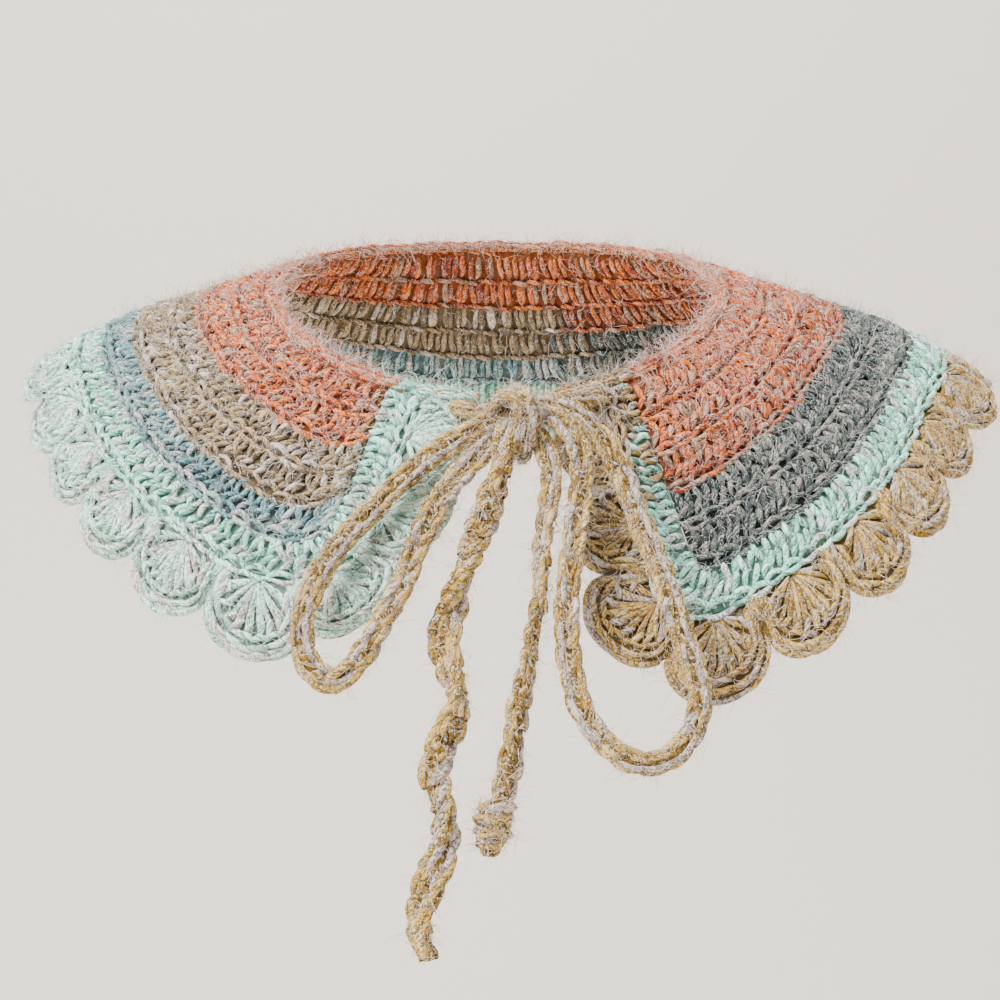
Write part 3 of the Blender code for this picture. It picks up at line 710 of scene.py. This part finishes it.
def chain_groups(points, width, pitch, facing, twist=0.0, wobble=0.10, yarn="gold", plies=3):
    """Links of chain along a path: legs that part from the link's start and meet past the next one's."""
    samples = 9
    reach = reach_along(points)
    total = reach[-1]
    links = max(2, round((total - 0.5 * pitch) / pitch))
    pitch = total / (links + LINK_OVERLAP - 1.0)
    tangent = unit(np.gradient(points, axis=0))
    up = unit(facing - tangent * (facing * tangent).sum(axis=1, keepdims=True))
    side = np.cross(tangent, up)
    turn = twist * 2 * math.pi * reach[:, None]
    up, side = up * np.cos(turn) + side * np.sin(turn), side * np.cos(turn) - up * np.sin(turn)
    keys = resampled(LEG_KEYS, samples)
    q = (keys[:, 0] - keys[0, 0]) / (keys[-1, 0] - keys[0, 0])
    start = np.arange(links)[:, None] * pitch
    along = start + q[None, :] * pitch * LINK_OVERLAP
    leg_radius = width * LEG_RADIUS_SHARE
    tones = charted(yarn, (np.arange(links) + 0.5) / links)

    def at(table):
        return np.stack([np.interp(along, reach, table[:, axis]) for axis in range(3)], axis=-1)

    centre, ups, across_way = at(points), unit(at(up)), unit(at(side))
    groups = []
    for leg in (-1.0, 1.0):
        scale = rng.normal(1.0, wobble, (links, 1))
        across = leg * keys[None, :, 1] * (width / 2 - leg_radius) * scale
        height = keys[None, :, 2] * width * 0.15 + rng.normal(0.0, 0.0003, (links, 1))
        spine = centre + across_way * across[..., None] + ups * height[..., None]
        for ply in range(plies):
            angle = 2 * math.pi * (ply / plies + q[None, :] * 0.30) * leg
            angle = (angle + rng.uniform(-0.5, 0.5, (links, 1)))[..., None]
            path = spine + (across_way * np.cos(angle) + ups * np.sin(angle)) * leg_radius * 0.50
            pick = rng.choice(4, size=links, p=WOOL_SHARES if ply < plies - 1 else MOHAIR_SHARES)
            colours = tones[np.arange(links), pick] * rng.uniform(0.88, 1.12, (links, 1))
            radii = leg_radius * 0.60 * swell(samples, 0.5)[None, :] * rng.uniform(0.85, 1.15, (links, 1))
            groups.append((path, radii, colours, ups, 5))
    # A dark core along the chain: painted shade in the gaps between its legs
    spacing = 4 if len(points) > 24 else 1
    shade_core = points[None, ::spacing]
    groups.append(
        (shade_core, np.full(shade_core.shape[:2], width * 0.24), tones[links // 2, 1:2] * 0.6, up[None, ::spacing], 6)
    )
    return groups


def heart_group(line, radius, ends, up, sides, shade_factor):
    """A plain strand inside a knot, darkened as painted shade, which keeps it closed between its turns."""
    count = len(line)
    ups = np.broadcast_to(up, (1, count, 3))
    return line[None], radius * swell(count, ends)[None], PALETTES["tan"][1:2] * shade_factor, ups, sides


# Halo: fine curly mohair fibres
def frosted(colours, low, high):
    """Yarn colours mixed with the mohair's own, more in some fibres than in others."""
    return colours + (MOHAIR - colours) * rng.uniform(low, high, (len(colours), 1))


def fibres(name, starts, normals, colours, length, width=FIBRE_WIDTH, rise=0.5):
    """Curly ribbons that start along the fabric and rise from it by some share."""
    steps = FIBRE_STEPS
    count = len(starts)
    flat = unit(np.cross(rng.normal(size=(count, 3)), normals))
    heading = unit(flat + normals * rng.uniform(-0.1, 2.0 * rise, (count, 1)))
    axis = unit(rng.normal(size=(count, 3)))
    lengths = length * rng.uniform(0.45, 1.25, (count, 1)) / steps
    bend = FIBRE_CURL * rng.uniform(0.3, 1.4, (count, 1))
    points = [starts]
    for _ in range(steps):
        axis = unit(axis + rng.normal(size=(count, 3)) * 0.45)
        heading = unit(heading + np.cross(axis, heading) * bend)
        points.append(points[-1] + heading * lengths)
    path = np.stack(points, axis=1)
    across = unit(np.cross(np.gradient(path, axis=1), rng.normal(size=(count, 1, 3))))
    taper = np.linspace(1.0, 0.35, steps + 1)[None, :, None] * width / 2
    pair = np.stack([path - across * taper, path + across * taper], axis=2)
    index = np.arange(count * (steps + 1) * 2).reshape(count, steps + 1, 2)
    here, there = index[:, :-1], index[:, 1:]
    faces = np.stack([here[..., 0], here[..., 1], there[..., 1], there[..., 0]], axis=-1)
    tints = np.repeat(colours, (steps + 1) * 2, axis=0)
    return mesh_from(name, pair.reshape(-1, 3), faces.reshape(-1, 4), tints, None)


def fabric_halo(name, face):
    """Fibres over the body's rows, on its face 1 or its wrong side -1."""
    count = HALO_COUNTS[name]
    along = rng.uniform(BODY_LEFT, BODY_RIGHT, count)
    share = rng.uniform(-0.02, 1.0, count)
    outwards = body_outwards(along, share)
    point, _, _, normal = surface(along, outwards)
    row = np.clip((share * ROW_COUNT).astype(int), 0, ROW_COUNT - 1)
    where = (along - BODY_LEFT) / (BODY_RIGHT - BODY_LEFT)
    colours = np.zeros((count, 3))
    for index in range(ROW_COUNT):
        chosen = row == index
        colours[chosen] = yarn_colours(f"row_{index + 1}", where[chosen], int(chosen.sum()))
    colours = frosted(colours, 0.15, 0.85)
    return fibres(name, point + normal * face * 0.0022, normal * face, colours, 0.0080, rise=0.3)


def edge_halo(name):
    """Fibres on both sides of the border and the shells, and out from the shells' rims."""
    count = HALO_COUNTS[name]
    share = rng.uniform(0.0, 1.0, count)
    outer = shell_height((share * SHELL_COUNT) % 1.0)
    distance = SHELL_START + outer * rng.uniform(0.0, 1.0, count) ** 0.55
    inner = rng.random(count) < 0.22
    distance = np.where(inner, rng.uniform(0.0, BORDER_WIDTH, count), distance)
    along, outwards = outline_place(share, distance)
    point, _, _, normal = surface(along, outwards)
    face = np.where(rng.random(count) < 0.7, 1.0, -1.0)[:, None]
    rim = (distance > SHELL_START + outer * 0.8)[:, None]
    out = unit(surface(*outline_place(share, distance + 0.002))[0] - point)
    way = np.where(rim, unit(out + normal * face * 0.4), normal * face)
    border, shells = yarn_colours("border", share, count), yarn_colours("shells", share, count)
    colours = frosted(np.where(inner[:, None], border, shells), 0.2, 0.85)
    return fibres(name, point + normal * face * 0.0018, way, colours, 0.0095)


def neck_halo(name):
    """Fibres along the neckline, away from the fabric."""
    count = HALO_COUNTS[name]
    along = rng.uniform(0.004, COLLAR_LENGTH - 0.004, count)
    point, _, dy, normal = surface(along, np.zeros(count))
    way = unit(-unit(dy) + normal * rng.uniform(-0.4, 1.0, (count, 1)))
    colours = frosted(yarn_colours("chain", along / COLLAR_LENGTH, count), 0.2, 0.85)
    return fibres(name, point + way * 0.0020, way, colours, 0.0090)


def cord_halo(name, routes):
    """Fibres round every cord, from pairs of a path and a width."""
    starts, normals = [], []
    for points, width in routes:
        count = int(path_length(points) * HALO_PER_METRE)
        pick = rng.integers(0, len(points) - 1, count)
        tangent = unit(points[pick + 1] - points[pick])
        way = unit(np.cross(tangent, rng.normal(size=(count, 3))))
        starts.append(points[pick] + way * width * 0.36)
        normals.append(way)
    starts, normals = np.concatenate(starts), np.concatenate(normals)
    tones = PALETTES["gold"][rng.choice(4, size=len(starts))]
    return fibres(name, starts, normals, frosted(tones, 0.1, 0.8), 0.0080, width=0.00018)


# Materials
def add_node(material, kind, values=None, **settings):
    """A shader node with its own settings and the values of its inputs."""
    node = material.node_tree.nodes.new(kind)
    for name, value in settings.items():
        setattr(node, name, value)
    for name, value in (values or {}).items():
        node.inputs[name].default_value = value
    return node


def join(material, output, target):
    material.node_tree.links.new(output, target)


def yarn_material(name, fluff):
    """Matt yarn with a soft sheen, in the colours of its points."""
    material = bpy.data.materials.new(name)
    material.use_nodes = True
    shader = material.node_tree.nodes["Principled BSDF"]
    for label, value in {
        "Roughness": 0.85, "Specular IOR Level": 0.25, "Sheen Weight": fluff,
        "Sheen Roughness": 0.5, "Sheen Tint": (0.95, 0.92, 0.90, 1.0),
    }.items():
        shader.inputs[label].default_value = value
    tint = add_node(material, "ShaderNodeAttribute", attribute_name="yarn")
    join(material, tint.outputs["Color"], shader.inputs["Base Color"])
    return material, shader, tint


def add_bump(material, shader, height, strength, distance):
    bump = add_node(material, "ShaderNodeBump", {"Strength": strength, "Distance": distance})
    join(material, height, bump.inputs["Height"])
    join(material, bump.outputs["Normal"], shader.inputs["Normal"])


def streaked_material(name, fluff):
    """Yarn of twisted plies: light and dark streaks along its lay, partly the plies' own tone and partly
    painted highlight and shade, and strays of mohair.
    """
    material, shader, tint = yarn_material(name, fluff)
    lay = add_node(material, "ShaderNodeAttribute", attribute_name="lay")
    plies = add_node(material, "ShaderNodeTexNoise", {"Scale": 1.5, "Detail": 2.0, "Roughness": 0.6})
    join(material, lay.outputs["Vector"], plies.inputs["Vector"])
    # The streaks' light and dark: partly the plies' own tone, partly painted highlight on raised plies and
    # painted shade between them
    depth = {"From Min": 0.42, "From Max": 0.58, "To Min": 0.26, "To Max": 1.28}
    ramp = add_node(material, "ShaderNodeMapRange", depth)
    join(material, plies.outputs["Fac"], ramp.inputs["Value"])
    ply_shaded = add_node(material, "ShaderNodeMix", {"Factor": 1.0}, data_type="RGBA", blend_type="MULTIPLY")
    join(material, tint.outputs["Color"], ply_shaded.inputs["A"])
    join(material, ramp.outputs["Result"], ply_shaded.inputs["B"])
    strays = add_node(material, "ShaderNodeTexNoise", {"Scale": 2.3, "Detail": 2.0})
    join(material, lay.outputs["Vector"], strays.inputs["Vector"])
    amount = {"From Min": 0.55, "From Max": 0.66, "To Min": 0.0, "To Max": 0.70}
    share = add_node(material, "ShaderNodeMapRange", amount)
    join(material, strays.outputs["Fac"], share.inputs["Value"])
    mixed = add_node(material, "ShaderNodeMix", data_type="RGBA")
    mixed.inputs["B"].default_value = (*MOHAIR, 1.0)
    join(material, share.outputs["Result"], mixed.inputs["Factor"])
    join(material, ply_shaded.outputs["Result"], mixed.inputs["A"])
    join(material, mixed.outputs["Result"], shader.inputs["Base Color"])
    add_bump(material, shader, plies.outputs["Fac"], 0.6, 0.0004)
    return material


def fabric_material(name):
    """The plain walls under the stitches, faintly rough."""
    material, shader, _ = yarn_material(name, 0.1)
    place = add_node(material, "ShaderNodeTexCoord")
    noise = add_node(material, "ShaderNodeTexNoise", {"Scale": 900.0, "Detail": 3.0})
    join(material, place.outputs["Object"], noise.inputs["Vector"])
    add_bump(material, shader, noise.outputs["Fac"], 0.8, 0.0008)
    return material


# Body: all its rows on the face, in two pieces, and on the wrong side
FACE, WRONG_SIDE = 1.0, -1.0
UPPER_ROWS = 3
upper_groups = UPPER_ROWS * len(POST_STRANDS + TOP_STRANDS)
face_rows = body_rows(FACE)
body_upper = tubes("body_stitches_upper", face_rows[:upper_groups])
body_lower = tubes("body_stitches_lower", face_rows[upper_groups:])
body_back = tubes("body_wrong_side", body_rows(WRONG_SIDE))


# Border round and shells
def border_round(strands, face, full, **detail):
    return outline_round(strands, 0.0, BORDER_WIDTH, BORDER_STITCH_WIDTH, face, "border", full, **detail)


border_front = tubes(
    "border_stitches",
    border_round(POST_STRANDS, FACE, 1.02) + border_round(TOP_STRANDS, FACE, 0.95, samples=8),
)
border_back = tubes("border_wrong_side", border_round(BACK_STRANDS, WRONG_SIDE, 1.05, samples=6, sides=4))
shells_front = tubes("shell_stitches", shell_strands(FACE))
shells_back = tubes("shell_wrong_side", shell_strands(WRONG_SIDE))


# Plain walls under the stitches, darkened as painted shade for the gaps between them
def border_edge(share):
    return np.full_like(share, BORDER_WIDTH)


def shell_edge(share):
    return SHELL_START + shell_height((share * SHELL_COUNT) % 1.0) - RIM_INSET


collar_base = base_rows(31, 260)
border_base = base_outline("border_base", SEAM_GAP, border_edge, "border", 5, 320)
shell_base = base_outline("shell_base", SHELL_START, shell_edge, "shells", 9, SHELL_COUNT * 16 + 1)

# Neckline chain
chain_x = np.linspace(0.0, COLLAR_LENGTH, 700)
chain_line, _, chain_dy, chain_up = surface(chain_x, np.zeros(700))
chain_facing = unit(chain_up - unit(chain_dy) * 0.4)
links = chain_groups(chain_line, NECK_CHAIN_WIDTH, LINK_PITCH, chain_facing, yarn="chain", wobble=0.06)
neck_chain = tubes("neckline_chain", links)

# Tie cords: a fuller chain than the cord's own width, and the left tail's is twisted
CORDS = {
    "left_loop": {"route": LEFT_LOOP_ROUTE, "width": 0.0075, "full": 1.04, "plies": 3, "twist": 0.0},
    "right_loop": {"route": RIGHT_LOOP_ROUTE, "width": 0.0075, "full": 1.04, "plies": 3, "twist": 0.0},
    "left_tail": {"route": LEFT_TAIL_ROUTE, "width": 0.0088, "full": 1.16, "plies": 4, "twist": 14.0},
    "right_tail": {"route": RIGHT_TAIL_ROUTE, "width": 0.0075, "full": 1.04, "plies": 3, "twist": 4.0},
}
cord_paths = {}
for name, cord in CORDS.items():
    points = dense(cord["route"])
    cord_paths[name] = points
    facing = np.broadcast_to(CORD_FRONT, points.shape)
    full = cord["width"] * cord["full"]
    groups = chain_groups(points, full, TIE_PITCH, facing, twist=cord["twist"], plies=cord["plies"])
    tubes(name + "_chain", groups)

# The bow's knot: its turns of cord round a dark heart of painted shade
KNOT_TURNS = [
    {"route": WRAP_ROUTE, "width": 0.0074, "yarn": "tan"},
    {"route": LOOP_OVER_ROUTE, "width": 0.0056, "yarn": "gold"},
    {"route": LEFT_LEAD_ROUTE, "width": 0.0058, "yarn": "gold"},
    {"route": RIGHT_LEAD_ROUTE, "width": 0.0062, "yarn": "gold"},
]
knot_groups = []
knot_paths = []
for part in KNOT_TURNS:
    points = dense(part["route"])
    knot_paths.append((points, part["width"]))
    facing = unit(points - KNOT_MIDDLE + np.array([0.0, -0.004, 0.002]))
    knot_groups += chain_groups(points, part["width"], LINK_PITCH, facing, yarn=part["yarn"], plies=4)
knot_groups.append(heart_group(resampled(HEART_ROUTE, 9), 0.0072, 0.4, [0.0, 0.0, 1.0], 10, 0.7))
knot_wraps = tubes("knot_wraps", knot_groups)

# The right tail's knot: three tilted rings, a stub below them and a dark heart of painted shade
TAIL_RINGS = [
    {"ahead": 0.0030, "radius": 0.0034, "tilt": 0.0016, "start": 0.4, "turns": 1.15},
    {"ahead": 0.0068, "radius": 0.0036, "tilt": -0.0020, "start": 2.4, "turns": 1.15},
    {"ahead": 0.0100, "radius": 0.0026, "tilt": 0.0012, "start": 4.0, "turns": 1.0},
]
tail_end = cord_paths["right_tail"][-1]
tail_way = unit(tail_end - cord_paths["right_tail"][-6])
knot_side = unit(np.cross(tail_way, [0.0, -1.0, 0.0]))
knot_front = np.cross(knot_side, tail_way)


def ring_path(ahead, radius, tilt, start, turns):
    """A tilted ring of cord round the tail's end."""
    wind = np.linspace(start, start + turns * 2 * math.pi, 40)[:, None]
    lean = np.cos(wind - 0.6) * tilt
    round_way = knot_side * np.cos(wind) + knot_front * np.sin(wind)
    return tail_end + tail_way * (ahead + lean) + round_way * radius


end_groups = []
end_paths = []
for ring in TAIL_RINGS:
    path = ring_path(**ring)
    end_paths.append((path, 0.006))
    end_groups += chain_groups(path, 0.0062, LINK_PITCH, unit(path - tail_end - tail_way * ring["ahead"]))
steps = np.linspace(0.0, 1.0, 12)[:, None]
stub = tail_end + tail_way * (0.007 + 0.0085 * steps) + np.array([0.0016, 0.0, 0.0]) * steps
end_groups += chain_groups(stub, 0.0066, 0.0060, np.broadcast_to(CORD_FRONT, stub.shape))
end_heart = tail_end + tail_way * (-0.002 + 0.012 * steps)
end_groups.append(heart_group(end_heart, 0.0034, 0.42, knot_front, 8, 0.8))
tail_knot = tubes("tail_knot_wraps", end_groups)

# Halo
halo_front = fabric_halo("halo_front", FACE)
halo_back = fabric_halo("halo_wrong_side", WRONG_SIDE)
halo_edge = edge_halo("halo_edge")
neck_halo("halo_neckline")
routes = [(points, CORDS[name]["width"]) for name, points in cord_paths.items()] + knot_paths + end_paths
cord_halo("halo_cords", routes)

# Materials, slots and bodies
yarn = streaked_material("yarn", 0.12)
fluff = yarn_material("mohair", 0.2)[0]
plain = fabric_material("base_fabric")
for name, piece in PARTS.items():
    if name.startswith("halo"):
        piece.data.materials.append(fluff)
    elif name.endswith("_base"):
        piece.data.materials.append(plain)
    else:
        piece.data.materials.append(yarn)
    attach(piece, "root")

# The solids that the pieces stand for
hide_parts("collar_rows")
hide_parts("border_round")
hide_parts("shell_edging")
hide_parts("foundation_chain")
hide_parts("tie_knot")
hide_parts("tail_knot")
for name in CORDS:
    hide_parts(name)

# Each cord's path, looked up once more and not used
for name, cord in CORDS.items():
    points = cord_paths[name]

# Stage: a pale sweep of floor and wall
FLOOR_Z = -0.55
WALL_TOP = 3.0
HALF_WIDTH = 3.5
BEND_START = 0.6
BEND_RADIUS = 0.7
BEND_STEPS = 12
profile = [(-2.5, FLOOR_Z), (BEND_START, FLOOR_Z)]
for step in range(1, BEND_STEPS + 1):
    angle = step / BEND_STEPS * math.pi / 2
    depth = BEND_START + BEND_RADIUS * math.sin(angle)
    profile.append((depth, FLOOR_Z + BEND_RADIUS * (1 - math.cos(angle))))
profile.append((BEND_START + BEND_RADIUS, WALL_TOP))
sweep = bpy.data.meshes.new("sweep")
corners = [(x, y, z) for x in (-HALF_WIDTH, HALF_WIDTH) for y, z in profile]
count = len(profile)
sweep.from_pydata(corners, [], [(i, i + 1, count + i + 1, count + i) for i in range(count - 1)])
sweep.polygons.foreach_set("use_smooth", [True] * len(sweep.polygons))
backdrop = bpy.data.objects.new("sweep", sweep)
bpy.context.scene.collection.objects.link(backdrop)
paint = bpy.data.materials.new("paint")
paint.use_nodes = True
wall_paint = paint.node_tree.nodes["Principled BSDF"].inputs
wall_paint["Base Color"].default_value = (0.88, 0.825, 0.735, 1.0)
wall_paint["Roughness"].default_value = 0.9
sweep.materials.append(paint)

# Light: a key from the upper left, a weak fill, and a wash from above on the wall
COLLAR_MIDDLE = (0.0, -0.05, -0.08)
LIGHTS = [
    {"name": "key", "place": (-1.1, -1.1, 1.0), "target": COLLAR_MIDDLE,
     "size": 0.7, "watts": 64.0, "colour": (1.0, 0.98, 0.95)},
    {"name": "fill", "place": (1.4, -1.2, 0.2), "target": COLLAR_MIDDLE,
     "size": 1.4, "watts": 8.0, "colour": (0.95, 0.97, 1.0)},
    {"name": "wash", "place": (0.0, -0.2, 1.9), "target": (0.0, 0.6, 0.0),
     "size": 1.6, "watts": 60.0, "colour": (1.0, 0.99, 0.97)},
]


def area_light(name, place, target, size, watts, colour):
    """An area light that faces a target."""
    lamp = bpy.data.lights.new(name, "AREA")
    lamp.size = size
    lamp.energy = watts
    lamp.color = colour
    holder = bpy.data.objects.new(name, lamp)
    holder.location = place
    bpy.context.scene.collection.objects.link(holder)
    aim = bpy.data.objects.new(name + "_aim", None)
    aim.location = target
    bpy.context.scene.collection.objects.link(aim)
    follow = holder.constraints.new("TRACK_TO")
    follow.target = aim
    follow.track_axis = "TRACK_NEGATIVE_Z"
    follow.up_axis = "UP_Y"


for light in LIGHTS:
    area_light(**light)
world = bpy.data.worlds.new("studio")
bpy.context.scene.world = world
world.use_nodes = True
sky = world.node_tree.nodes["Background"].inputs
sky["Color"].default_value = (0.92, 0.93, 0.95, 1.0)
sky["Strength"].default_value = 0.55

# Camera
camera_data = bpy.data.cameras.new("camera")
camera_data.lens = 66.9
camera_data.sensor_width = 36.0
camera = bpy.data.objects.new("camera", camera_data)
camera.location = (0.001, -0.650, -0.081)
camera.rotation_euler = (math.pi / 2, 0.0, 0.0)
bpy.context.scene.collection.objects.link(camera)
bpy.context.scene.camera = camera
